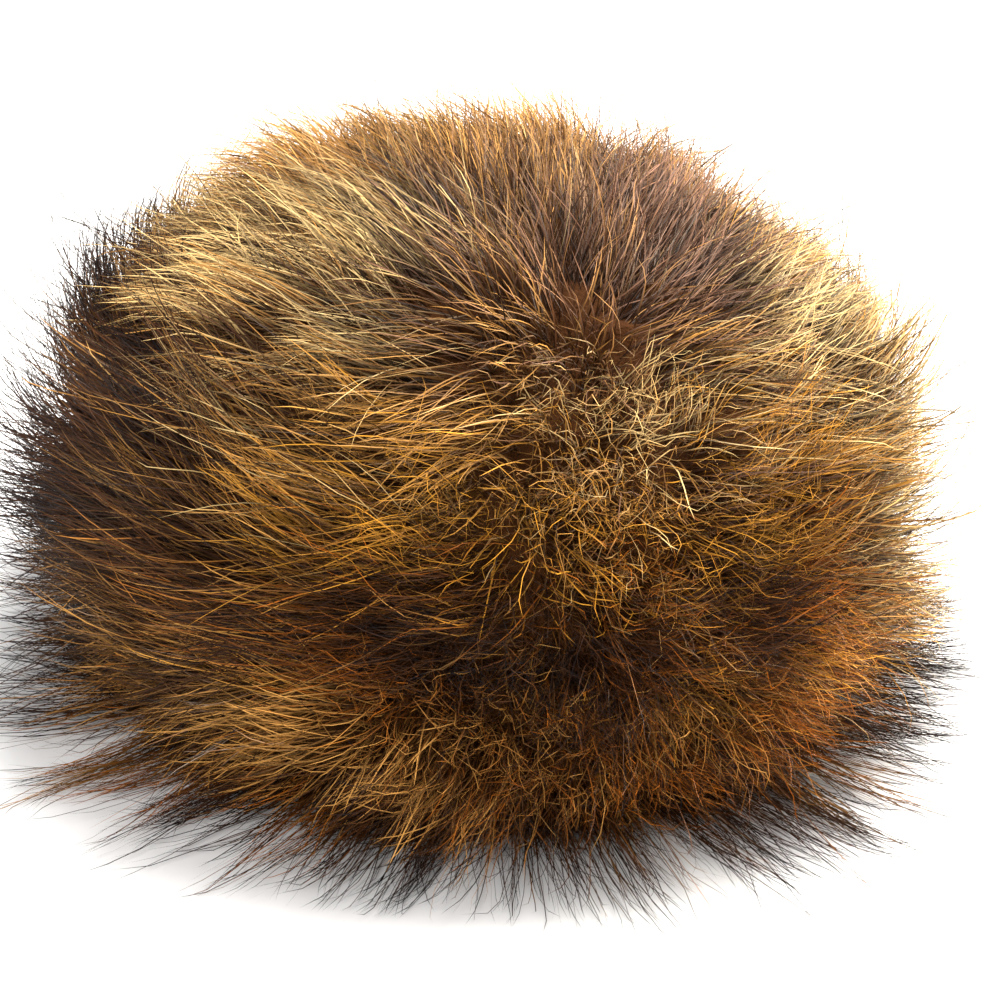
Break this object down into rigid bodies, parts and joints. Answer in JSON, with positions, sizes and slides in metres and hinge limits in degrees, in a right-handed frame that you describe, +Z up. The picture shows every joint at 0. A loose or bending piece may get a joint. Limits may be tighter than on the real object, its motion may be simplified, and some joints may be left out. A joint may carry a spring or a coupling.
{
  "type": "fur hat",
  "caption": "Round deep-fur hat with a hollow band, a domed crown and long golden-brown fur all over.",
  "frame": {"origin": "middle of the head opening, on the plane that the rim rests on", "axes": "+Z up through the crown, +Y to the back of the hat, -Y its front, +X to its left as worn"},
  "size_m": [0.2848, 0.3086, 0.1552],
  "materials": {
    "pelt": "suede-like skin side of a pelt, matt",
    "fur": "deep raccoon-like fur, golden brown with dark tips"
  },
  "bodies": {
    "root": {"band_pelt": "pelt", "crown_pelt": "pelt", "band_fur": "fur", "crown_fur": "fur"}
  },
  "joints": []
}
